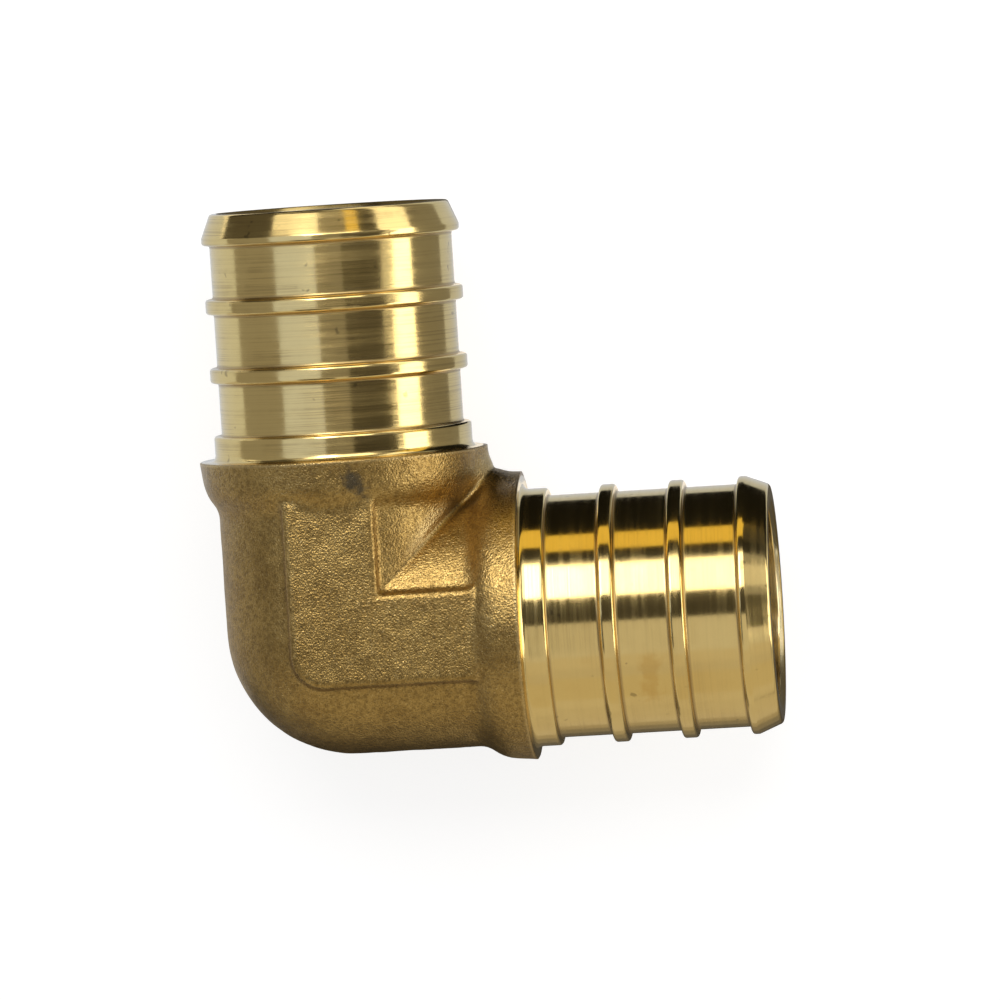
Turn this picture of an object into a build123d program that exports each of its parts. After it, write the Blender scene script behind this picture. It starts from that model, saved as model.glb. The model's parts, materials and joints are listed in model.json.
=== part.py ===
from build123d import *
from math import cos, radians, sqrt, tan
import os

# A 90 degree elbow that joins two plastic water tubes of 3/4 in nominal size. It is one brass forging
# whose two ends are turned to ribbed spigots: a tube is pushed over each spigot as far as the collar,
# and a ring crimped round the tube presses it on to the ribs. All sizes are in millimetres.
#
# Frame: the origin is where the two centre lines cross, +X and +Y run out along the two arms, and +Z
# stands square to both. The elbow is alike on both sides of the mitre plane x = y and of z = 0.

# Waterway, drilled from each end with a pointed drill
bore_diameter = 14.0
drill_point_angle = 118.0
drill_overrun = 2.5  # how far the full bore runs past the other arm's centre line
mouth_chamfer = 0.3

# Spigots, turned
spigot_wall = 1.37
spigot_length = 17.05
base_ring_length = 1.75
rib_count = 2
rib_height = 0.53
rib_land = 0.88
rib_flank_angle = 72.0  # from the centre line
barb_land = 0.45
lead_in_length = 1.65
lead_in_drop = 0.67  # fall of the lead-in's radius towards the tip
crest_bevel = 0.12  # takes the sharp edge off each crest
tip_bevel = 0.2
stop_fillet = 0.4  # in the corner between the base ring and the collar's face

# Forged arms
arm_wall = 1.74
valley_radius = 0.5  # of the inside corner between the arms

# Collars, the stops for the tubes
collar_lip = 1.13  # rise of the collar's rim above the arm
collar_throat = 2.26  # from one collar's rim to the other collar's face
collar_length = 3.45  # from its face to where its back meets the arm
collar_draft = 6.5
collar_back_angle = 36.0  # from the centre line
collar_blend = 1.2  # radius of the two soft bends on the collar's back
rim_bevel = 0.1
crotch_radius = 1.95
web_thickness = 4.6  # of the web in the crotch

# Flat pads, one on each side of the body, L-shaped as seen from above
pad_rise = 0.2  # above the arm's highest line
pad_depth = 2.5  # from the pad's face to its foot inside the arm
pad_outer_edge = 3.4  # from the arm's centre line
pad_inner_edge = 2.7
pad_overlap = 0.5  # run of the pad's ends on to the backs of the collars
pad_corner_radius = 2.2
pad_draft = 15.0
pad_edge_round = 0.3

sink = 0.05  # depth to which an added form is let into the metal below it

bore_radius = bore_diameter / 2
root_radius = bore_radius + spigot_wall
rib_radius = root_radius + rib_height
arm_radius = bore_radius + arm_wall
rim_radius = arm_radius + collar_lip
collar_face = rim_radius + collar_throat  # from the crossing of the centre lines
collar_foot = collar_face - collar_length
tip = collar_face + spigot_length

# Each arm is drawn on its own plane: x runs out along the arm, y away from its centre line
arms = [Plane.XY, Plane(origin=(0, 0, 0), x_dir=(0, 1, 0), z_dir=(0, 0, -1))]
mitre = Plane(origin=(0, 0, 0), x_dir=(1, 1, 0), z_dir=(1, -1, 0))
diagonal = Axis((0, 0, 0), (1, 1, 0))

# Pad, drafted on all sides, whose two ends run into the collars
pad_end = collar_foot + pad_overlap
with BuildPart() as pad:
    with BuildSketch(Plane.XY.offset(arm_radius + pad_rise)) as pad_outline:
        with BuildLine():
            Polyline(
                (-pad_outer_edge, -pad_outer_edge),
                (pad_end, -pad_outer_edge),
                (pad_end, pad_inner_edge),
                (pad_inner_edge, pad_inner_edge),
                (pad_inner_edge, pad_end),
                (-pad_outer_edge, pad_end),
                close=True,
            )
        make_face()
        fillet(pad_outline.vertices().sort_by(diagonal)[0], pad_corner_radius)
    extrude(amount=-pad_depth, taper=-pad_draft)
    fillet(pad.edges().group_by(Axis.Z)[-1], pad_edge_round)

with BuildPart() as elbow:
    # Arms: one round bar with a ball end is cut at the mitre plane and mirrored. A thin slice comes
    # off under each pad, so that the valley between the arms ends on a flat.
    flat_height = sqrt(arm_radius**2 - pad_inner_edge**2)
    with BuildSketch(arms[0]):
        with BuildLine():
            CenterArc((0, 0), arm_radius, 90, 90)
            Polyline((0, arm_radius), (collar_face, arm_radius), (collar_face, 0), (-arm_radius, 0))
        make_face()
    revolve(axis=Axis.X)
    split(bisect_by=mitre, keep=Keep.TOP)
    mirror(about=mitre)
    split(bisect_by=Plane.XY.offset(flat_height), keep=Keep.BOTTOM)
    split(bisect_by=Plane.XY.offset(-flat_height), keep=Keep.TOP)
    valley = elbow.edges().filter_by(GeomType.ELLIPSE).sort_by(diagonal)[-1]
    fillet(valley, valley_radius)

    # Collars, with a drafted rim and a back that sweeps down into the arm in two soft bends, which
    # the length of the back limits
    draft_slope = tan(radians(collar_draft))
    back_slope = tan(radians(collar_back_angle))
    back_run = (collar_lip + sink - collar_length * draft_slope) / (back_slope - draft_slope)
    back_length = back_run / cos(radians(collar_back_angle))
    foot_tangent = tan(radians(collar_back_angle) / 2)
    shoulder_tangent = tan(radians(collar_back_angle - collar_draft) / 2)
    back_bend = min(collar_blend, back_length / (foot_tangent + shoulder_tangent) - sink)
    for arm in arms:
        with BuildSketch(arm) as collar:
            with BuildLine():
                Polyline(
                    (collar_foot - back_bend, 0),
                    (collar_foot - back_bend, arm_radius - sink),
                    (collar_foot, arm_radius - sink),
                    (collar_foot + back_run, arm_radius - sink + back_run * back_slope),
                    (collar_face, rim_radius),
                    (collar_face, 0),
                    close=True,
                )
            make_face()
            fillet(collar.vertices().sort_by(Axis.X)[2:4], back_bend)
            chamfer(collar.vertices().sort_by(Axis.Y)[-1], rim_bevel)
        revolve(axis=Axis((0, 0, 0), arm.x_dir))

    # Web in the crotch: a quarter of a ring that joins the two collars
    web_radius = web_thickness / 2
    web_top = rim_radius - 2 * sink
    crotch_centre = web_top + crotch_radius
    with BuildSketch(Plane.YZ.offset(crotch_centre)):
        with Locations((web_top - web_radius, 0)):
            Circle(web_radius)
    revolve(axis=Axis((crotch_centre, crotch_centre, 0), (0, 0, -1)), revolution_arc=90)

    # Pads on both sides
    add(pad.part)
    mirror(pad.part, about=Plane.XY)

    # Spigots: a base ring that runs into the collar's face with a fillet, plain ribs, and a barb with a
    # tapered lead-in at the tip. The grooves between them are all of one length.
    rib_flank = rib_height / tan(radians(rib_flank_angle))
    rib_width = rib_land + 2 * rib_flank
    ring_end = collar_face + base_ring_length
    barb_end = tip - lead_in_length
    barb_crest = barb_end - barb_land
    barb_foot = barb_crest - rib_flank
    groove = (barb_foot - ring_end - rib_count * rib_width) / (rib_count + 1)
    ribs = [(ring_end + groove + number * (groove + rib_width), root_radius) for number in range(rib_count)]
    for arm in arms:
        with BuildSketch(arm) as spigot:
            with Locations((collar_face, 0)):
                Rectangle(barb_foot - collar_face, root_radius, align=(Align.MIN, Align.MIN))
                Rectangle(base_ring_length, rib_radius, align=(Align.MIN, Align.MIN))
            with Locations(*ribs):
                Trapezoid(rib_width, rib_height, rib_flank_angle, align=(Align.MIN, Align.MIN))
            with BuildLine():
                Polyline(
                    (barb_foot, 0),
                    (barb_foot, root_radius),
                    (barb_crest, rib_radius),
                    (barb_end, rib_radius),
                    (tip, rib_radius - lead_in_drop),
                    (tip, 0),
                    close=True,
                )
            make_face()
            crests = spigot.vertices().group_by(Axis.Y)[-1].sort_by(Axis.X)
            chamfer(crests[1:], crest_bevel)
            chamfer(spigot.vertices().group_by(Axis.X)[-1].sort_by(Axis.Y)[-1], tip_bevel)
            with Locations((collar_face, 0)):
                Rectangle(stop_fillet, rib_radius + 1.5 * stop_fillet, align=(Align.MAX, Align.MIN))
            fillet(spigot.vertices().sort_by_distance((collar_face, rib_radius))[0], stop_fillet)
        revolve(axis=Axis((0, 0, 0), arm.x_dir))

    # Waterway
    drill_point = bore_radius / tan(radians(drill_point_angle / 2))
    for arm in arms:
        with BuildSketch(arm):
            with BuildLine():
                Polyline(
                    (-drill_overrun - drill_point, 0),
                    (-drill_overrun, bore_radius),
                    (tip - mouth_chamfer, bore_radius),
                    (tip, bore_radius + mouth_chamfer),
                    (tip, 0),
                    close=True,
                )
            make_face()
        revolve(axis=Axis((0, 0, 0), arm.x_dir), mode=Mode.SUBTRACT)

os.makedirs("parts", exist_ok=True)
elbow.part.label = "elbow"
export_step(elbow.part, "parts/elbow.step")
print("elbow", elbow.part.bounding_box().size, "volume", round(elbow.part.volume), "faces", len(elbow.faces()))
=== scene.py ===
# %% [markdown]
# # A brass elbow for crimped water tube
# The real fitting starts as a hot brass forging. Its two ends are then turned on a lathe and drilled, so
# one piece of metal has two very different skins: a dull, grainy body and two bright spigots. This lesson
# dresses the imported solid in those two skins. The frame gives the size and the place of everything, in
# metres.

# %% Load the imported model
import json
from math import cos, pi, radians, sin, tan

import bpy
import numpy as np
from mathutils import Matrix, Vector, noise


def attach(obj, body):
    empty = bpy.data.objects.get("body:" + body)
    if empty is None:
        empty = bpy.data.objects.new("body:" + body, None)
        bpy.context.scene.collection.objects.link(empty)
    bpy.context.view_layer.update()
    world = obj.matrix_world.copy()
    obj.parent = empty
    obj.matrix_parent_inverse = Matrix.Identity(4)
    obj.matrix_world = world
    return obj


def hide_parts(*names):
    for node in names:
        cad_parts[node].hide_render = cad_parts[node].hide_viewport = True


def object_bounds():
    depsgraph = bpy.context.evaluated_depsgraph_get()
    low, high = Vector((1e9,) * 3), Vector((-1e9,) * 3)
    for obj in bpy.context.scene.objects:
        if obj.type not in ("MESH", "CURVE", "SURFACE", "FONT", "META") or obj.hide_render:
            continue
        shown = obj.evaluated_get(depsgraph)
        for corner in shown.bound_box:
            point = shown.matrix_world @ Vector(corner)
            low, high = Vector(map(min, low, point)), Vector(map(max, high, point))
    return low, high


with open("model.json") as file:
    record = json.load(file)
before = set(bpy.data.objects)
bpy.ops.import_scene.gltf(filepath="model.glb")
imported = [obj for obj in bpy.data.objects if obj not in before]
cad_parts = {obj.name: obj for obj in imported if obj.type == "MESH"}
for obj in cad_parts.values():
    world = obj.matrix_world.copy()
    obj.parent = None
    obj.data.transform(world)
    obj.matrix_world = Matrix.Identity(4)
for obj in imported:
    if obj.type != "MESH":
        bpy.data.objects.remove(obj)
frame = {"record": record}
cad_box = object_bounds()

mm = 0.001
mounts = {mount["name"]: mount for mount in frame["record"]["mounts"]}

# %% [markdown]
# ## Camera
# The photograph looks almost straight down on the elbow as it lies on its side. The camera comes first,
# because every later choice is judged through it. A long lens from half a metre away keeps the two arms
# almost parallel.

# %% Camera
camera_place = Vector((59.27, 40.08, 545.16)) * mm
camera_right = Vector((0.99427, -0.06469, -0.08507)).normalized()
camera_back = Vector((0.08886, 0.05805, 0.99435)).normalized()
camera_up = camera_back.cross(camera_right)

camera_data = bpy.data.cameras.new("camera")
camera_data.sensor_width = 36.0
camera_data.lens = 286.06
camera_data.clip_start = 10 * mm
camera = bpy.data.objects.new("camera", camera_data)
camera.matrix_world = Matrix.Translation(camera_place) @ Matrix(
    (camera_right, camera_up, camera_back)).transposed().to_4x4()
bpy.context.scene.collection.objects.link(camera)
bpy.context.scene.camera = camera
print("camera lens", camera_data.lens, "mm")

# %% [markdown]
# ## Turned spigots
# A spigot is a solid of revolution, so its shape is one profile: from the collar's rim in across the stop
# face, out along the base ring, the ribs and the barb, round the tip, and back down the bore. Every
# corner on a turned part is a small arc, because the tool has a nose radius and the edges are broken. A
# Bevel modifier could round them, but writing the arcs into the profile keeps the rings evenly spaced and
# lets each corner have its own size. The profile is in millimetres, as a turner would read it: place
# along the arm, then radius.

# %% Sizes of the turned ends
bore_radius = mounts["waterway_x"]["dims"]["r_mm"]
crest_radius = mounts["spigot_x"]["dims"]["r_mm"]
collar_face = mounts["stop_face_x"]["pos_m"][0] / mm
tip = cad_box[1].x / mm

rib_height = 0.53
root_radius = crest_radius - rib_height
rim_radius = 9.87
rim_edge = rim_radius - 0.1
die_shift = (-0.15, 0.08)
ring_end = collar_face + 1.75
barb_end = tip - 1.65
lead_in_drop = 0.67
mouth_chamfer = 0.3
rib_count = 2
rib_middle = 1.05
barb_land = 0.45
rib_flank = rib_height / tan(radians(79))

barb_crest = barb_end - barb_land
barb_foot = barb_crest - rib_flank
rib_width = rib_middle + rib_flank
rib_land = rib_middle - rib_flank
groove = (barb_foot - ring_end - rib_count * rib_width) / (rib_count + 1)
print("groove length", round(groove, 3), "mm")

# %% Profile of a spigot
crest_round = 0.19
root_round = 0.12
stop_fillet = 0.42
tool_nose = 0.05

corners = [
    (collar_face, rim_edge, 0.0),
    (collar_face, crest_radius, stop_fillet),
    (ring_end, crest_radius, crest_round),
    (ring_end, root_radius, root_round),
]
for number in range(rib_count):
    start = ring_end + groove + number * (groove + rib_width)
    corners += [
        (start, root_radius, root_round),
        (start + rib_flank, crest_radius, crest_round),
        (start + rib_flank + rib_land, crest_radius, crest_round),
        (start + rib_width, root_radius, root_round),
    ]
corners += [
    (barb_foot, root_radius, root_round),
    (barb_crest, crest_radius, crest_round),
    (barb_end, crest_radius, crest_round),
    (tip, crest_radius - lead_in_drop, 0.25),
    (tip, bore_radius + mouth_chamfer, tool_nose),
    (tip - mouth_chamfer, bore_radius, tool_nose),
    (collar_face, bore_radius, 0.0),
]


def rounded(corners, steps=3, hold=0.1):
    """The profile with an arc at each corner, and a point just off each arc to keep straights flat."""
    points = []
    for before, here, after in zip(corners, corners[1:], corners[2:]):
        corner = Vector(here[:2])
        back = Vector(before[:2]) - corner
        ahead = Vector(after[:2]) - corner
        half_turn = back.angle(ahead) / 2
        reach = min(here[2] / tan(half_turn), 0.45 * back.length, 0.45 * ahead.length)
        radius = reach * tan(half_turn)
        centre = corner + (back.normalized() + ahead.normalized()).normalized() * radius / sin(half_turn)
        first = corner + back.normalized() * reach
        last = corner + ahead.normalized() * reach
        if back.length * 0.5 > reach + hold:
            points.append(first + back.normalized() * hold)
        for step in range(steps + 1):
            spoke = (first - centre).slerp(last - centre, step / steps)
            points.append(centre + spoke.normalized() * radius)
        if ahead.length * 0.5 > reach + hold:
            points.append(last + ahead.normalized() * hold)
    return np.array([corners[0][:2], *map(tuple, points), corners[-1][:2]])


profile = rounded(corners)
feet = np.array([corner[:2] for corner in corners if corner[1] == root_radius])
foot_gap = np.linalg.norm(profile[:, None] - feet, axis=-1).min(axis=1)
# Painted shade: the feet of the ribs and the middle of each flank are marked here to be darkened in colour.
foot_reach, flank_middle, flank_reach = 0.1, 0.2, 0.14
rib_shade = np.clip(1.8 - foot_gap / foot_reach, 0, 1)
off_middle = np.abs(profile[:, 1] - root_radius - flank_middle)
flank = np.clip(1.5 - off_middle / flank_reach, 0, 1) * (profile[:, 0] < barb_crest)
rib_shade = np.maximum(0.9 * rib_shade, 0.4 * flank)
print("profile points", len(profile), "length", round(profile[:, 0].max() - collar_face, 2), "mm")

# %% [markdown]
# ## Forged body
# The body has no single profile: two round arms meet in a valley, a collar stands at each end, a web
# fills the crotch, and a flat pad lies on each side. In a die all of these run into each other with soft
# fillets. Booleans and bevels on such a junction break easily. Instead each form is written as a
# distance, negative inside, and two distances are joined with a soft minimum, which leaves a fillet
# wherever they meet.

# %% Soft joins
def soft_min(a, b, blend):
    """The smaller distance, with a fillet of about the blend's width where the two are close."""
    overlap = np.maximum(blend - np.abs(a - b), 0.0)
    return np.minimum(a, b) - overlap**2 / (4 * np.maximum(blend, 1e-9))


def soft_max(a, b, blend):
    return -soft_min(-a, -b, blend)


# %% Sizes of the forging
arm_radius = 8.74
valley_blend = 0.3
collar_foot = collar_face - 3.45
collar_draft = radians(6.5)
collar_back = radians(36)
shoulder_blend = 0.4
foot_blend = 0.35
rim_blend = 0.12
crotch_radius = 2.55
web_radius = 2.4
web_blend = 1.0
pad_height = arm_radius + 0.2
pad_depth = 2.5
pad_outer_edge = 3.4
pad_inner_edge = 2.7
pad_corner = 2.2
pad_end = collar_foot + 0.5
pad_draft = radians(15)
pad_edge_blend = 0.22
pad_crease_blend = 0.12
notch_blend = 0.4
crotch_centre = rim_radius - 0.1 + crotch_radius


# %% The forging as one distance
def arms(x, y, z):
    along_x = np.sqrt(np.minimum(x, 0)**2 + y**2 + z**2) - arm_radius
    along_y = np.sqrt(x**2 + np.minimum(y, 0)**2 + z**2) - arm_radius
    valley = valley_blend * np.clip((x + y) / arm_radius, 0, 1)
    return soft_min(along_x, along_y, valley)


def collar(along, across, z):
    radius = np.hypot(across, z)
    rim = (radius - rim_radius + (collar_face - along) * tan(collar_draft)) * cos(collar_draft)
    back = (radius - arm_radius - (along - collar_foot) * tan(collar_back)) * cos(collar_back)
    return soft_max(soft_max(rim, back, shoulder_blend), along - collar_face, rim_blend)


def web(x, y, z):
    ring = np.hypot(x - crotch_centre, y - crotch_centre) - crotch_radius - web_radius
    return np.maximum(np.hypot(ring, z) - web_radius, np.maximum(x, y) - crotch_centre)


def pads(x, y, z):
    to_x, to_y = pad_corner - pad_outer_edge - x, pad_corner - pad_outer_edge - y
    outside = np.hypot(np.maximum(to_x, 0), np.maximum(to_y, 0)) + np.minimum(np.maximum(to_x, to_y), 0)
    notch = soft_min(x - pad_inner_edge, y - pad_inner_edge, notch_blend)
    plan = np.maximum(np.maximum(outside - pad_corner, notch), np.maximum(x, y) - pad_end)
    depth = pad_height - np.abs(z)
    wall = (plan - depth * tan(pad_draft)) * cos(pad_draft)
    return np.maximum(soft_max(wall, -depth, pad_edge_blend), depth - pad_depth)


def forging(points):
    along_x, along_y, z = np.moveaxis(points, -1, 0)
    x, y = along_x - die_shift[0], along_y - die_shift[1]
    metal = soft_min(arms(x, y, z), pads(x, y, z), pad_crease_blend)
    metal = soft_min(metal, collar(along_x, y, z), foot_blend)
    metal = soft_min(metal, collar(along_y, x, z), foot_blend)
    return soft_min(metal, web(x, y, z), web_blend)


# %% [markdown]
# The drilled waterway is two round holes with the drill's conical ends, joined without any fillet.

# %% The waterway as one distance
drill_overrun = 2.5
drill_half_point = radians(59)


def drilled(along, across, z):
    radius = np.hypot(across, z)
    cone = radius * cos(drill_half_point) - (along + drill_overrun) * sin(drill_half_point) \
        - bore_radius * cos(drill_half_point)
    return np.maximum(radius - bore_radius, cone)


def waterway(points):
    x, y, z = np.moveaxis(points, -1, 0)
    return np.minimum(drilled(x, y, z), drilled(y, x, z))


# %% [markdown]
# ## Laying a grid on the body
# A clean grid follows the arms like the hoops of a hose. Each hoop lies in a plane through the line where
# the two collar faces cross, so the hoops fan round the corner and the first and last ones are exactly
# the collar faces. Rays run out from the centre of each hoop, and halving the step finds where each ray
# meets the metal. The rays are stretched like a mitre joint, so grid lines run parallel to the arms and
# along the pads' edges.

# %% Hoops and rays
spokes = 240
turn = np.arange(spokes) * 2 * pi / spokes


def hoop_places(first, growth, widest):
    """Distances from the collar face along the arm: close together at the rim, then even."""
    steps, step = [0.0], first
    while steps[-1] < collar_face:
        steps.append(steps[-1] + step)
        step = min(step * growth, widest)
    return np.array(steps) * collar_face / steps[-1]


def fan(places):
    """Centres and rays of the hoops from the collar face on +Y, round the corner, to that on +X."""
    lean = np.arctan(places / collar_face)
    lean = np.concatenate([lean, pi / 2 - lean[-2::-1]])
    half = np.concatenate([places, places[-2::-1]])
    on_y = lean <= pi / 4
    centre = np.zeros((len(lean), 1, 3))
    centre[on_y, 0, 1] = collar_face - half[on_y]
    centre[~on_y, 0, 0] = collar_face - half[~on_y]
    stretch = 1 / np.maximum(np.cos(lean), np.sin(lean))
    rays = np.empty((len(lean), spokes, 3))
    rays[..., 0] = np.outer(-np.cos(lean) * stretch, np.cos(turn))
    rays[..., 1] = np.outer(-np.sin(lean) * stretch, np.cos(turn))
    rays[..., 2] = np.sin(turn)
    return centre, rays


def meet(distance, centre, rays, near, far, rounds=40):
    """Where each ray passes from inside to outside, by halving."""
    low = np.full(rays.shape[:2] + (1,), near)
    high = np.full(rays.shape[:2] + (1,), far)
    for _ in range(rounds):
        middle = (low + high) / 2
        inside = distance(centre + middle * rays)[..., None] < 0
        low, high = np.where(inside, middle, low), np.where(inside, high, middle)
    return centre + (low + high) / 2 * rays


skin = meet(forging, *fan(hoop_places(0.03, 1.3, 0.165)), near=5.0, far=16.0)
lining = meet(waterway, *fan(hoop_places(0.5, 1.0, 0.5)), near=0.0, far=16.0)
print("skin", skin.shape, "lining", lining.shape)

# %% [markdown]
# ## Relief of the forging
# A forged skin is never quite true: the die has worn, scale has been blasted off, and a faint line is
# left where the two die halves met and the flash was trimmed. Each point of the skin moves a few
# hundredths of a millimetre along its own normal, which is the slope of the distance. The finer grain is
# left to the material. The same distance gives two useful masks: in a crease the metal is nearer than a
# free surface would be, and at an outer edge there is less metal below. They tell the material where
# creases get painted shade and where edges are rubbed bright, and a strip beside the valley also gets
# painted light.

# %% Normals and masks from the distance
def slope(points, step=0.01):
    gradient = np.stack([
        forging(points + step * axis) - forging(points - step * axis) for axis in np.eye(3)], axis=-1)
    return gradient / np.linalg.norm(gradient, axis=-1, keepdims=True)


normals = slope(skin)
crease_reach, edge_reach = 0.9, 0.35
# Painted shade: creases, where metal is near, are marked to be darkened in colour, and so are the lines
# along the pads and the valley.
shelter = np.clip(1 - forging(skin + crease_reach * normals) / crease_reach, 0, 1)
rub = np.clip(1 + forging(skin - edge_reach * normals) / edge_reach, 0, 1)
in_die = np.moveaxis(skin - np.array([*die_shift, 0.0]), -1, 0)
on_collar = np.clip(np.maximum(in_die[0], in_die[1]) - collar_foot + 1.0, 0, 1)
pad_line_width, valley_line_width = 0.1, 0.35
off_mitre = in_die[1] - in_die[0]
pad_line = np.exp(-((arms(*in_die) - pads(*in_die)) / pad_line_width)**2) * (1 - on_collar)
valley_line = np.exp(-(off_mitre / valley_line_width)**2) * np.clip((in_die[0] - 2.5) / 1.5, 0, 1)
shelter = np.maximum(shelter, np.maximum(0.45 * pad_line, 0.5 * valley_line))
beside_valley = np.clip(0.5 + off_mitre, 0, 1) * np.clip(1.2 - off_mitre / 2, 0, 1)
# Painted light: a strip of the +Y arm beside the valley is brightened as if by light bounced off the other
# arm.
painted_bounce_light = np.clip((in_die[0] - 4) / 2.5, 0, 1) * beside_valley
rub = np.maximum(0.6 * rub, painted_bounce_light)
print("deepest crease", round(shelter.max(), 2), "sharpest edge", round(rub.max(), 2))

# %% Push the skin in and out
swell_size, swell_height = 3.2, 0.035
ripple_size, ripple_height = 0.9, 0.022
seam_width, seam_height = 0.3, 0.05
pad_line_depth, valley_line_depth = 0.04, 0.1


def wave(points, size):
    heights = [noise.noise(Vector(point) / size) for point in points.reshape(-1, 3)]
    return np.array(heights).reshape(points.shape[:-1])


relief = swell_height * wave(skin, swell_size) + ripple_height * wave(skin, ripple_size)
relief -= pad_line_depth * pad_line + valley_line_depth * valley_line
relief += seam_height * np.exp(-(skin[..., 2] / seam_width)**2) * (0.6 + wave(skin + 40.0, 1.5))
from_rim = np.minimum(collar_face - skin[..., 0], collar_face - skin[..., 1])
relief *= np.clip(from_rim / 0.4, 0, 1)
skin = skin + relief[..., None] * normals
rim_centre, rim_rays = fan(np.array([0.0, collar_face]))
for hoop, side in ((0, 0), (-1, 1)):
    skin[hoop] = rim_centre[hoop] + rim_edge * rim_rays[hoop]
    skin[hoop, :, side] += die_shift[side]
print("relief", round(relief.min(), 3), "to", round(relief.max(), 3), "mm")

# %% [markdown]
# ## One closed sleeve
# The four stretches follow each other in a ring: down the +Y spigot and into its bore, through the
# waterway, out along the +X spigot, and back over the forged skin. As every stretch has the same number
# of spokes, the whole surface is one grid that closes on itself both ways, so it is watertight with no
# welding.

# %% Stack the hoops
def turned_hoops(arm, profile):
    along = np.repeat(profile[:, :1], spokes, axis=1)
    across, up = -np.outer(profile[:, 1], np.cos(turn)), np.outer(profile[:, 1], np.sin(turn))
    return np.stack([across, along, up] if arm == "y" else [along, across, up], axis=-1)


stretches = [
    turned_hoops("y", profile),
    lining[1:-1],
    turned_hoops("x", profile[::-1]),
    skin[-2:0:-1],
]
stretches[0][0], stretches[2][-1] = skin[0], skin[-1]
hoops = np.concatenate(stretches)
hoop_count = len(hoops)
starts = np.cumsum([0] + [len(stretch) for stretch in stretches])
print("hoops", hoop_count, "spokes", spokes, "triangles", 2 * hoop_count * spokes)

# %% Build the mesh
here = np.arange(hoop_count)[:, None] * spokes + np.arange(spokes)
right = np.roll(here, -1, axis=1)
ahead = np.roll(here, -1, axis=0)
quads = np.stack([here, right, np.roll(right, -1, axis=0), ahead], axis=-1).reshape(-1, 4)

mesh = bpy.data.meshes.new("elbow_skin")
mesh.from_pydata((hoops.reshape(-1, 3) * mm).tolist(), [], quads.tolist())
elbow = bpy.data.objects.new("brass_elbow", mesh)
bpy.context.scene.collection.objects.link(elbow)
mesh.polygons.foreach_set("use_smooth", np.ones(len(mesh.polygons), dtype=bool))
print("mesh", len(mesh.vertices), "points", len(mesh.polygons), "quads")

# %% [markdown]
# ## What each point knows
# Materials need to know where they are. Three finishes share the mesh by face: turned, drilled and
# forged. Three masks are stored on the points: where creases and rib feet get painted shade, where edges
# are rubbed bright or get painted light beside the valley, and how worn the turning tool was. For the
# lathe lines each point keeps its place along its arm together with its direction round the arm, which
# has no seam anywhere.

# %% Finish of each face, masks and lathe places
TURNED, DRILLED, FORGED = 0, 1, 2
finish = np.full(hoop_count, FORGED)
finish[starts[0]:starts[1]] = TURNED
finish[starts[1]:starts[2]] = DRILLED
finish[starts[2]:starts[3]] = TURNED
mouth = int(np.argmax(profile[:, 0] >= tip - 1e-6))
inside = np.arange(len(profile)) > mouth
inside[mouth:] = profile[mouth:, 1] < bore_radius + 0.5 * mouth_chamfer
finish[starts[0]:starts[1]][inside] = DRILLED
finish[starts[2]:starts[3]][inside[::-1]] = DRILLED
finish[starts[3] - 1:] = FORGED
mesh.polygons.foreach_set("material_index", np.repeat(finish, spokes).astype(np.int32))

masks = {name: np.zeros((hoop_count, spokes)) for name in ("shelter", "rub", "tool_wear")}
masks["shelter"][starts[3]:] = shelter[-2:0:-1]
masks["shelter"][starts[0]:starts[1]] = rib_shade[:, None]
masks["shelter"][starts[2]:starts[3]] = rib_shade[::-1, None]
masks["rub"][starts[3]:] = rub[-2:0:-1]
masks["tool_wear"][starts[0]:starts[1]] = 0.42
masks["tool_wear"][starts[2]:starts[3]] = 0.12
for name, values in masks.items():
    mesh.attributes.new(name, "FLOAT", "POINT").data.foreach_set("value", values.ravel().astype(np.float32))

lathe = np.empty((hoop_count, spokes, 3))
lathe[..., 0] = np.maximum(hoops[..., 0], hoops[..., 1])
lathe[..., 1] = np.cos(turn)
lathe[..., 2] = np.sin(turn)
mesh.attributes.new("lathe", "FLOAT_VECTOR", "POINT").data.foreach_set(
    "vector", lathe.ravel().astype(np.float32))

along = np.cumsum(np.linalg.norm(np.diff(hoops[:, 0], axis=0, prepend=hoops[:1, 0]), axis=-1))
u = np.append(along, along[-1] + 1.0) / 100
v = np.arange(spokes + 1) / spokes
uv = np.empty((hoop_count, spokes, 4, 2))
uv[:, :, 0, 0] = uv[:, :, 1, 0] = u[:-1, None]
uv[:, :, 2, 0] = uv[:, :, 3, 0] = u[1:, None]
uv[:, :, 0, 1] = uv[:, :, 3, 1] = v[:-1]
uv[:, :, 1, 1] = uv[:, :, 2, 1] = v[1:]
mesh.uv_layers.new(name="along_and_round").data.foreach_set("uv", uv.ravel().astype(np.float32))
mesh.validate()
print("faces by finish", np.bincount(finish) * spokes)

# %% Take the place of the solid
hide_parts("elbow")
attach(elbow, "root")

# %% [markdown]
# ## Node helpers
# Shader nodes are easier to read as short lines. One helper fills an input: a value is set on the socket,
# and another node's output is linked to it. The others add a node of one kind and hand back what comes
# out of it.

# %% Helpers for nodes
def fill(tree, socket, value):
    if isinstance(value, bpy.types.NodeSocket):
        tree.links.new(value, socket)
    else:
        socket.default_value = value


def add(tree, kind, inputs=None, **settings):
    node = tree.nodes.new(kind)
    for name, value in settings.items():
        setattr(node, name, value)
    for name, value in (inputs or {}).items():
        fill(tree, node.inputs[name], value)
    return node


def math(tree, operation, *values):
    node = add(tree, "ShaderNodeMath", operation=operation)
    for socket, value in zip(node.inputs, values):
        fill(tree, socket, value)
    return node.outputs[0]


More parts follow.
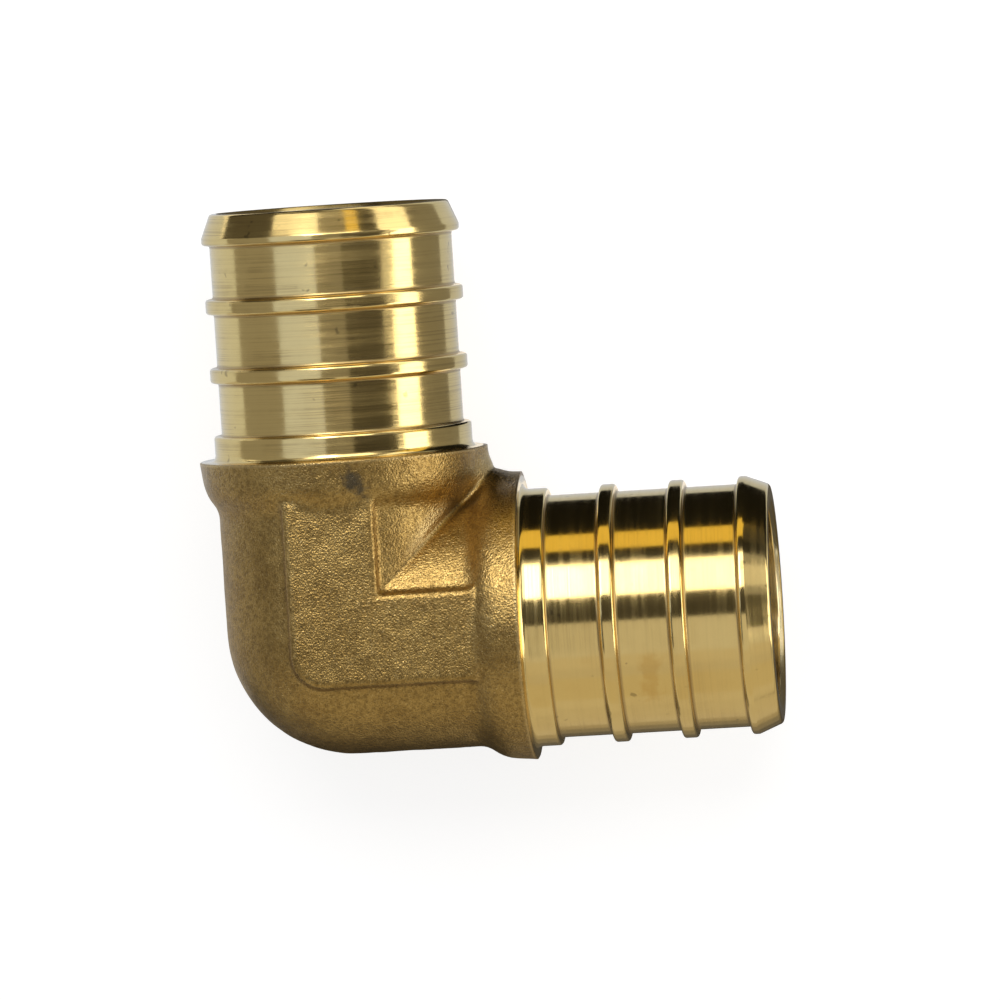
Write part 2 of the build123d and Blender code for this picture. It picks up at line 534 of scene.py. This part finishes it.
def vector_math(tree, operation, first, second):
    """Like math, for vectors. To scale, the second is a number."""
    other = "Scale" if operation == "SCALE" else 1
    node = add(tree, "ShaderNodeVectorMath", {0: first, other: second}, operation=operation)
    return node.outputs["Value" if operation in ("DOT_PRODUCT", "DISTANCE") else "Vector"]


def place_in_mm(tree):
    return vector_math(tree, "SCALE", add(tree, "ShaderNodeTexCoord").outputs["Object"], 1 / mm)


def stored_mask(tree, name):
    return add(tree, "ShaderNodeAttribute", attribute_name=name).outputs["Fac"]


def blend(tree, factor, *colours):
    node = add(tree, "ShaderNodeMix", {"Factor": factor}, data_type="RGBA")
    for socket, colour in zip(node.inputs[6:8], colours):
        fill(tree, socket, colour if isinstance(colour, bpy.types.NodeSocket) else (*colour, 1.0))
    return node.outputs[2]


def remap(tree, value, low, high, to_low=0.0, to_high=1.0):
    return add(tree, "ShaderNodeMapRange", {
        "Value": value, "From Min": low, "From Max": high, "To Min": to_low, "To Max": to_high},
        interpolation_type="SMOOTHSTEP").outputs["Result"]


def group(name, inputs, outputs):
    tree = bpy.data.node_groups.new(name, "ShaderNodeTree")
    for label, kind, default in inputs:
        socket = tree.interface.new_socket(label, in_out="INPUT", socket_type=kind)
        socket.default_value = default
    for label, kind in outputs:
        tree.interface.new_socket(label, in_out="OUTPUT", socket_type=kind)
    return tree, tree.nodes.new("NodeGroupInput").outputs, tree.nodes.new("NodeGroupOutput").inputs


def place(tree, made, inputs):
    node = tree.nodes.new("ShaderNodeGroup")
    node.node_tree = made
    for name, value in inputs.items():
        fill(tree, node.inputs[name], value)
    return node.outputs


FLOAT, COLOR, VECTOR = "NodeSocketFloat", "NodeSocketColor", "NodeSocketVector"

# %% [markdown]
# ## Grain
# Shot blasting leaves a skin of tiny craters, a fraction of a millimetre across, with sharp ridges between
# them that catch the light. A Voronoi texture gives the craters and a finer noise breaks them up, so no
# cell looks regular. The forging has it twice, as fine dents and as a wider mottle of colour, and the
# turned metal has it as a faint pitting.

# %% Node group for grain
grain, given, result = group(
    "grain", [("Size", FLOAT, 0.2), ("Fine Share", FLOAT, 0.5)],
    [("Height", FLOAT), ("Sparkle", FLOAT)])
millimetres = place_in_mm(grain)
frequency = math(grain, "DIVIDE", 1.0, given["Size"])
craters = add(grain, "ShaderNodeTexVoronoi", {
    "Vector": millimetres, "Scale": frequency}, feature="F1").outputs["Distance"]
fine = add(grain, "ShaderNodeTexNoise", {
    "Vector": millimetres, "Scale": math(grain, "MULTIPLY", frequency, 1.3), "Detail": 2.0,
    "Roughness": 0.6}).outputs["Fac"]
height = math(grain, "ADD", craters, math(grain, "MULTIPLY", fine, given["Fine Share"]))
grain.links.new(height, result["Height"])
grain.links.new(remap(grain, fine, 0.54, 0.72), result["Sparkle"])
print("group", grain.name)

# %% [markdown]
# ## Tarnish
# Brass darkens unevenly. Broad patches shift the colour between a fresh and a dull tone, and small specks
# stay where oil or scale has been. Every finish takes this group with its own two tones.

# %% Node group for tarnish
tarnish, given, result = group(
    "tarnish", [("Fresh", COLOR, (1, 1, 1, 1)), ("Dull", COLOR, (0.5, 0.5, 0.5, 1)),
                ("Patch Size", FLOAT, 4.0), ("Amount", FLOAT, 0.5), ("Specks", FLOAT, 0.5)],
    [("Color", COLOR), ("Mask", FLOAT)])
millimetres = place_in_mm(tarnish)
patches = add(tarnish, "ShaderNodeTexNoise", {
    "Vector": millimetres, "Scale": math(tarnish, "DIVIDE", 1.0, given["Patch Size"]), "Detail": 4.0,
    "Roughness": 0.6}).outputs["Fac"]
mask = math(tarnish, "MULTIPLY", remap(tarnish, patches, 0.35, 0.7), given["Amount"])
speck_noise = add(tarnish, "ShaderNodeTexNoise", {
    "Vector": millimetres, "Scale": 0.9, "Detail": 2.0, "Roughness": 0.55}).outputs["Fac"]
specks = math(tarnish, "MULTIPLY", remap(tarnish, speck_noise, 0.68, 0.76), given["Specks"])
tone = blend(tarnish, mask, given["Fresh"], given["Dull"])
tarnish.links.new(blend(tarnish, specks, tone, (0.045, 0.032, 0.018)), result["Color"])
tarnish.links.new(math(tarnish, "MAXIMUM", mask, specks), result["Mask"])
print("group", tarnish.name)

# %% [markdown]
# ## Lathe lines
# A turning tool leaves a very fine screw thread, and its chatter varies from pass to pass. The lines run
# round the arm, so the pattern changes quickly along the arm and slowly round it. The stored lathe place
# does exactly that. The spigots and the drilled bore both use it, with their own line width.

# %% Node group for lathe lines
lathe_lines, given, result = group(
    "lathe lines", [("Line Width", FLOAT, 0.1), ("Drift", FLOAT, 0.6)],
    [("Height", FLOAT), ("Streak", FLOAT)])
stored = add(lathe_lines, "ShaderNodeAttribute", attribute_name="lathe").outputs["Vector"]
parts = add(lathe_lines, "ShaderNodeSeparateXYZ", {"Vector": stored}).outputs
stretched = add(lathe_lines, "ShaderNodeCombineXYZ", {
    "X": math(lathe_lines, "DIVIDE", parts["X"], given["Line Width"]),
    "Y": math(lathe_lines, "MULTIPLY", parts["Y"], given["Drift"]),
    "Z": math(lathe_lines, "MULTIPLY", parts["Z"], given["Drift"])}).outputs[0]
lines = add(lathe_lines, "ShaderNodeTexNoise", {
    "Vector": stretched, "Scale": 1.0, "Detail": 1.0, "Roughness": 0.5}).outputs["Fac"]
broad = vector_math(lathe_lines, "MULTIPLY", stretched, (0.22, 2.2, 2.2))
streaks = add(lathe_lines, "ShaderNodeTexNoise", {
    "Vector": broad, "Scale": 1.0, "Detail": 2.0}).outputs["Fac"]
lathe_lines.links.new(lines, result["Height"])
lathe_lines.links.new(remap(lathe_lines, streaks, 0.35, 0.7), result["Streak"])
print("group", lathe_lines.name)

# %% [markdown]
# ## Smears
# A smear is a ragged mark along a short line: a scuff on the forging, or a stain that a thumb or a drop
# of coolant leaves on bright metal. The group measures the distance from the line and lets a noise fray
# it, and each material chooses where its smear lies and what colour it has.

# %% Node group for smears
smear, given, result = group(
    "smear", [("From", VECTOR, (0, 0, 0)), ("Run", VECTOR, (1, 0, 0)), ("Width", FLOAT, 0.5)],
    [("Mask", FLOAT)])
millimetres = place_in_mm(smear)
from_start = vector_math(smear, "SUBTRACT", millimetres, given["From"])
reached = vector_math(smear, "DOT_PRODUCT", from_start, given["Run"])
whole = vector_math(smear, "DOT_PRODUCT", given["Run"], given["Run"])
share = add(smear, "ShaderNodeClamp", {"Value": math(smear, "DIVIDE", reached, whole)}).outputs[0]
away = vector_math(smear, "DISTANCE", from_start, vector_math(smear, "SCALE", given["Run"], share))
frayed = add(smear, "ShaderNodeTexNoise", {
    "Vector": millimetres, "Scale": 1.7, "Detail": 4.0}).outputs["Fac"]
away = math(smear, "ADD", away, math(smear, "MULTIPLY", frayed, 1.8))
smear.links.new(remap(smear, math(smear, "SUBTRACT", away, given["Width"]), 1.1, 0.3), result["Mask"])
print("group", smear.name)

# %% [markdown]
# ## Turned brass
# The spigots are bright metal with a satin of lathe lines. The lines blur reflections along the arm but
# not round it, which is what anisotropy describes: the UV map runs along the arm, so the tangent does
# too. The tool was more worn on the +Y end, the feet and flanks of the ribs are darkened with painted
# shade and are rougher there, and one amber stain lies on the +X end.

# %% Material of the spigots
def new_material(name):
    material = bpy.data.materials.new(name)
    material.use_nodes = True
    material.node_tree.nodes.clear()
    return material, material.node_tree


def finish_material(tree, shader):
    tree.links.new(shader.outputs["BSDF"], add(tree, "ShaderNodeOutputMaterial").inputs["Surface"])


turned_brass, tree = new_material("turned_brass")
tone = place(tree, tarnish, {
    "Fresh": (0.80, 0.60, 0.24, 1), "Dull": (0.72, 0.51, 0.185, 1), "Patch Size": 5.0, "Amount": 0.5,
    "Specks": 0.4})
cut = place(tree, lathe_lines, {"Line Width": 0.085, "Drift": 0.5})
groove_dirt = math(tree, "MULTIPLY", remap(tree, cut["Height"], 0.46, 0.66), stored_mask(tree, "tool_wear"))
groove_dirt = math(tree, "MULTIPLY", groove_dirt, remap(tree, tone["Mask"], 0.1, 0.4, 0.3, 1.0))
colour = blend(tree, groove_dirt, tone["Color"], (0.40, 0.29, 0.12))
stain = place(tree, smear, {"From": (20.75, -3.0, 7.8), "Run": (-0.15, -2.0, -1.2), "Width": 0.75})["Mask"]
colour = blend(tree, math(tree, "MULTIPLY", stain, 0.5), colour, (0.66, 0.42, 0.12))
# Painted shade: the feet and flanks of the ribs turn brown, and they are rougher there too.
rib_shade_mask = stored_mask(tree, "shelter")
colour = blend(tree, remap(tree, rib_shade_mask, 0.0, 1.0, 0.0, 0.6), colour, (0.32, 0.21, 0.09))
pitting = place(tree, grain, {"Size": 0.3, "Fine Share": 0.4})
relief_height = math(tree, "ADD", cut["Height"], math(tree, "MULTIPLY", pitting["Height"], 0.06))
bump = add(tree, "ShaderNodeBump", {"Height": relief_height, "Strength": 1.0, "Distance": 0.0026 * mm})
tangent = add(tree, "ShaderNodeTangent", direction_type="UV_MAP", uv_map="along_and_round")
satin = remap(tree, cut["Streak"], 0.0, 1.0, 0.135, 0.195)
satin = math(tree, "ADD", satin, math(tree, "MULTIPLY", rib_shade_mask, 0.2))
brass = add(tree, "ShaderNodeBsdfPrincipled", {
    "Base Color": colour, "Metallic": 1.0, "Anisotropic": 0.5,
    "Roughness": satin, "Normal": bump.outputs["Normal"], "Tangent": tangent.outputs["Tangent"]})
finish_material(tree, brass)

# %% [markdown]
# ## Drilled brass
# The bore has the wider scratches of a drill instead of the tool's fine lines. No hand reaches it, so its
# metal is paler than the spigots'.

# %% Material of the bore
drilled_brass, tree = new_material("drilled_brass")
tone = place(tree, tarnish, {
    "Fresh": (0.86, 0.71, 0.40, 1), "Dull": (0.74, 0.58, 0.30, 1), "Patch Size": 3.0, "Amount": 0.7,
    "Specks": 0.3})
cut = place(tree, lathe_lines, {"Line Width": 0.16, "Drift": 1.2})
bump = add(tree, "ShaderNodeBump", {"Height": cut["Height"], "Strength": 1.0, "Distance": 0.005 * mm})
brass = add(tree, "ShaderNodeBsdfPrincipled", {
    "Base Color": tone["Color"], "Metallic": 1.0,
    "Roughness": remap(tree, cut["Streak"], 0.0, 1.0, 0.12, 0.2), "Normal": bump.outputs["Normal"]})
finish_material(tree, brass)

# %% [markdown]
# ## Forged brass
# The blasted body is brown gold. Its dents throw light in every direction, so it looks matt from afar and
# glitters close by: bump does the dents, and the highest grains are also a fresher colour. Painted shade
# darkens the creases, handling brightens the edges, painted light brightens a strip beside the valley,
# and one dark scuff lies on the front of the collar on +Y.

# %% Material of the body
forged_brass, tree = new_material("forged_brass")
dents = place(tree, grain, {"Size": 0.15, "Fine Share": 1.0})
tone = place(tree, tarnish, {
    "Fresh": (0.45, 0.295, 0.094, 1), "Dull": (0.31, 0.19, 0.055, 1), "Patch Size": 2.6, "Amount": 0.7,
    "Specks": 0.3})
colour = blend(tree, math(tree, "MULTIPLY", dents["Sparkle"], 0.4), tone["Color"], (0.78, 0.59, 0.27))
colour = blend(tree, remap(tree, dents["Height"], 1.05, 0.6, 0.0, 0.5), colour, (0.13, 0.08, 0.025))
mottle = place(tree, grain, {"Size": 0.42, "Fine Share": 1.6})
colour = blend(tree, remap(tree, mottle["Height"], 1.5, 0.85, 0.0, 0.5), colour, (0.16, 0.098, 0.03))
# Painted shade: creases, the pad edges and the valley line turn dark brown.
crease = stored_mask(tree, "shelter")
colour = blend(tree, remap(tree, crease, 0.2, 0.75, 0.0, 0.7), colour, (0.08, 0.048, 0.02))
# Edges rubbed bright by wear, and the painted bounce light beside the valley, turn a fresher gold.
edge = stored_mask(tree, "rub")
colour = blend(tree, remap(tree, edge, 0.1, 0.8, 0.0, 0.75), colour, (0.72, 0.54, 0.25))

scuff = place(tree, smear, {"From": (1.3, 11.0, 9.6), "Run": (0.7, -1.3, -0.1), "Width": 0.65})["Mask"]
colour = blend(tree, math(tree, "MULTIPLY", scuff, 0.85), colour, (0.085, 0.075, 0.055))

bump = add(tree, "ShaderNodeBump", {"Height": dents["Height"], "Strength": 1.0, "Distance": 0.026 * mm})
brass = add(tree, "ShaderNodeBsdfPrincipled", {
    "Base Color": colour, "Metallic": 1.0,
    "Roughness": remap(tree, dents["Sparkle"], 0.0, 1.0, 0.34, 0.26), "Normal": bump.outputs["Normal"]})
finish_material(tree, brass)

for material in (turned_brass, drilled_brass, forged_brass):
    mesh.materials.append(material)
print("materials", [material.name for material in mesh.materials])

# %% [markdown]
# ## Floor
# The floor is a plain white sheet. Under studio light a white sheet is not quite white in a picture, so
# it glows a little for the camera and for reflections, and its own diffuse part still takes the elbow's
# shadow.

# %% Floor
def sheet(name, corners, material):
    """A flat four-cornered piece of the studio, not of the elbow. Corners in millimetres."""
    made = bpy.data.meshes.new(name)
    made.from_pydata([tuple(Vector(corner) * mm) for corner in corners], [], [(0, 1, 2, 3)])
    made.materials.append(material)
    thing = bpy.data.objects.new(name, made)
    bpy.context.scene.collection.objects.link(thing)
    return thing


floor_level = cad_box[0].z / mm
floor_reach = 3000
white_sheet, tree = new_material("white_sheet")
paper = add(tree, "ShaderNodeBsdfDiffuse", {"Color": (0.4, 0.4, 0.4, 1)})
path = add(tree, "ShaderNodeLightPath").outputs
seen = math(tree, "MAXIMUM", math(tree, "MAXIMUM", path["Is Camera Ray"], path["Is Glossy Ray"]),
            path["Is Transmission Ray"])
lift = add(tree, "ShaderNodeEmission", {"Strength": math(tree, "MULTIPLY", seen, 0.8)})
both = add(tree, "ShaderNodeAddShader", {0: paper.outputs[0], 1: lift.outputs[0]})
tree.links.new(both.outputs[0], add(tree, "ShaderNodeOutputMaterial").inputs["Surface"])
sheet("floor", [(sx * floor_reach, sy * floor_reach, floor_level)
                for sx, sy in ((-1, -1), (1, -1), (1, 1), (-1, 1))], white_sheet)
print("floor at", round(floor_level, 2), "mm")

# %% [markdown]
# ## Light
# Bright metal shows the room more than itself, so lighting it means choosing what it mirrors. A round bar
# seen from above mirrors a half circle of the room across its own axis, from the floor on one side, over
# the top, to the floor on the other. Two soft boxes light the elbow: one above and behind the +X arm, one
# low on the right of the +Y arm. Boards that only reflections can see fill the rest of the two half
# circles, dark, grey or gold. A board is described by the two directions it fills, in degrees from
# straight overhead.

# %% Where a reflection points
arm_side = {"x": Vector((0, 1, 0)), "y": Vector((1, 0, 0))}
arm_axis = {"x": Vector((1, 0, 0)), "y": Vector((0, 1, 0))}
overhead = Vector((0, 0, 1))


def direction(arm, angle):
    """Unit vector square to the arm, that many degrees from overhead, positive towards the inner corner."""
    return arm_side[arm] * sin(radians(angle)) + overhead * cos(radians(angle))


def mirrored(arm, angle, distance):
    """The place that the camera sees mirrored in the arm's groove, that way and at that distance."""
    lean = np.degrees(np.arctan2(camera_back.dot(arm_side[arm]), camera_back.z))
    start = direction(arm, (angle + lean) / 2) * root_radius
    return start + direction(arm, angle) * distance


print("overhead in the arm on +X mirrors", tuple(round(v, 1) for v in mirrored("x", 0, 100)))


# %% Boards and soft boxes
def one_sided(name, colour, strength):
    """A glowing face, clear from behind, so a card near one arm stays out of the other's sight."""
    material, tree = new_material(name)
    glow = add(tree, "ShaderNodeEmission", {"Color": (*colour, 1), "Strength": strength})
    behind = add(tree, "ShaderNodeNewGeometry").outputs["Backfacing"]
    faced = add(tree, "ShaderNodeMixShader", {
        0: behind, 1: glow.outputs[0], 2: add(tree, "ShaderNodeBsdfTransparent").outputs[0]})
    tree.links.new(faced.outputs[0], add(tree, "ShaderNodeOutputMaterial").inputs["Surface"])
    return material


def card(name, corners, colour, strength):
    made = sheet(name, corners, one_sided(name, colour, strength))
    made.visible_camera = made.visible_diffuse = made.visible_shadow = False
    made.visible_transmission = made.visible_volume_scatter = False
    return made


def board(name, arm, first, last, distance, stretch, colour, strength):
    """A card along the arm that fills the reflections between two directions, facing the arm."""
    near, far = mirrored(arm, first, distance), mirrored(arm, last, distance)
    ends = [arm_axis[arm] * along for along in stretch]
    corners = [ends[0] + near, ends[1] + near, ends[1] + far, ends[0] + far]
    if (corners[1] - corners[0]).cross(corners[3] - corners[0]).dot(near + far) > 0:
        corners.reverse()
    return card(name, corners, colour, strength)


def upright(name, arm, place, stretch, first, last, colour, strength):
    """A card that stands beside the arm at that place and fills the reflections between two directions."""
    heights = []
    for angle in (first, last):
        start = mirrored(arm, angle, 0)
        heights.append(start.z + (place - start.dot(arm_side[arm])) / tan(radians(angle)))
    low, high = max(min(heights), floor_level), max(heights)
    foot_line = [arm_side[arm] * place + arm_axis[arm] * along for along in stretch]
    corners = [foot_line[0] + overhead * low, foot_line[1] + overhead * low,
               foot_line[1] + overhead * high, foot_line[0] + overhead * high]
    if (corners[1] - corners[0]).cross(corners[3] - corners[0]).dot(arm_side[arm]) * place > 0:
        corners.reverse()
    return card(name, corners, colour, strength)


def mat(name, left, right, near, far, colour, strength, lift=0.05):
    """A card that lies on the floor."""
    level = floor_level + lift
    return card(name, [(left, near, level), (right, near, level), (right, far, level), (left, far, level)],
                colour, strength)


def soft_box(name, arm, first, last, distance, stretch, colour, strength):
    """An area lamp that fills the same place as a board would, with the given brightness."""
    near, far = mirrored(arm, first, distance), mirrored(arm, last, distance)
    lamp = bpy.data.lights.new(name, "AREA")
    lamp.shape = "RECTANGLE"
    lamp.size = (stretch[1] - stretch[0]) * mm
    lamp.size_y = (far - near).length * mm
    lamp.color = colour
    lamp.energy = strength * pi * lamp.size * lamp.size_y
    box = bpy.data.objects.new(name, lamp)
    across = (far - near).normalized()
    axis = arm_axis[arm]
    away = axis.cross(across)
    if away.dot(near) < 0:
        away.negate()
        across.negate()
    centre = (axis * sum(stretch) / 2 + (near + far) / 2) * mm
    box.matrix_world = Matrix.Translation(centre) @ Matrix((axis, across, away)).transposed().to_4x4()
    box.visible_camera = False
    bpy.context.scene.collection.objects.link(box)
    return box


# %% Place the lights
white, cool, sky = (1.0, 0.985, 0.96), (0.8, 0.87, 1.0), (0.67, 0.76, 1.0)
warm, tan_card, gold = (1.0, 0.93, 0.8), (1.0, 0.9, 0.69), (1.0, 0.74, 0.17)
soft_box("soft_box_behind", "x", 21, 53, 300, (-140, 160), white, 2.4)
soft_box("soft_box_right", "y", 62, 87, 260, (-60, 160), white, 2.7)

# Round the arm on +X
board("dark_card_overhead", "x", -3, 21, 30, (9, 36), warm, 0.055)
upright("dark_card_behind", "x", 16, (9, 60), 56, 68, warm, 0.02)
upright("gold_card_behind", "x", 16, (9, 33), 68, 87, gold, 0.95)
upright("dark_card_beside", "x", 16, (33, 70), 68, 87, warm, 0.05)
upright("black_card_behind", "x", 16, (9, 60), 87, 146, warm, 0.008)
front = [(-3, -36, white, 0.65), (-36, -48, warm, 0.625), (-48, -58, warm, 0.58), (-58, -84, tan_card, 0.6),
         (-84, -104, warm, 0.63)]
for number, (high, low, tone, strength) in enumerate(front):
    board(f"front_board_{number}", "x", low, high, 150, (-160, 200), tone, strength)
mat("front_mat_far", -2, 80, -165, -60, warm, 0.6)
mat("front_mat_middle", 6, 80, -60, -26, warm, 0.6)
for near, far, strength in ((-26, -21, 0.42), (-21, -16, 0.26), (-16, -12, 0.14), (-12, -8, 0.07)):
    mat(f"front_mat_{-far}", 8, 60, near, far, tan_card, strength)
# Painted shade: a dark mat beyond the +X tip stands in for the floor's shadow there, as the end face
# mirrors it.
mat("end_mat_x", 27, 45, -9, 9, warm, 0.1)
mat("right_mat_near", 60, 220, -26, 9, warm, 0.35)
mat("right_mat_far", 80, 220, -165, -26, warm, 0.4)
board("tip_card_x", "x", 24, 46, 40, (50, 85), white, 0.75)

# Round the arm on +Y
board("left_board_low", "y", -104, -50, 100, (-60, 52), white, 0.32)
board("left_board_high", "y", -50, -10, 180, (-60, 120), sky, 1.0)
board("ceiling_left", "y", -10, 15.5, 180, (-40, 32), white, 0.25)
board("ceiling_right", "y", 15.5, 61, 180, (-40, 32), warm, 0.085)
upright("right_card_low", "y", 22, (10, 60), 90, 134, white, 0.25)
mat("left_mat", -115, -9, 8, 40, cool, 0.84)
mat("inner_mat", 9, 60, 9, 60, cool, 0.75)
# Painted shade: a dark mat beyond the +Y tip stands in for the floor's shadow there, as the end face
# mirrors it.
mat("end_mat_y", -9, 9, 27, 45, warm, 0.1)
mat("dark_mat_y", -80, 2, 45, 200, warm, 0.015)
tip_fan = [(-112, -54, warm, 0.1, 36, 85), (-54, -6, white, 1.3, 48, 63), (-6, 23, warm, 0.22, 48, 85),
           (23, 36, gold, 0.9, 48, 85), (36, 56, warm, 0.08, 48, 85), (56, 92, white, 1.6, 36, 85),
           (92, 140, white, 0.4, 36, 85), (-54, -6, warm, 0.015, 63, 200)]
for number, (first, last, tone, strength, start, end) in enumerate(tip_fan):
    board(f"tip_card_{number}", "y", first, last, 30, (start, end), tone, strength)

# Round the body
mat("body_mat_far", -60, -2, -165, -60, warm, 0.3)
mat("body_mat_middle", -60, 6, -60, -26, warm, 0.25)
mat("body_mat_left", -115, -9, -26, 8, white, 0.56)
mat("body_mat_near", -40, 8, -26, -8, warm, 0.04)
board("body_board_behind", "x", 20, 52, 150, (-45, -2), white, 7.0)
board("body_board_right", "y", 56, 90, 120, (-40, 4), white, 3.0)
card("dark_card_over_body", [(-40, -40, 70), (-40, 3, 70), (3, 3, 70), (3, -40, 70)], warm, 0.07)

# %% [markdown]
# ## World
# The rest of the room is a pale even grey. It fills the shadows on the forging and on the floor.

# %% World
world = bpy.data.worlds.new("room")
world.use_nodes = True
world.node_tree.nodes["Background"].inputs["Color"].default_value = (1.0, 0.985, 0.96, 1)
world.node_tree.nodes["Background"].inputs["Strength"].default_value = 0.35
bpy.context.scene.world = world
bpy.context.scene.view_settings.view_transform = "Standard"
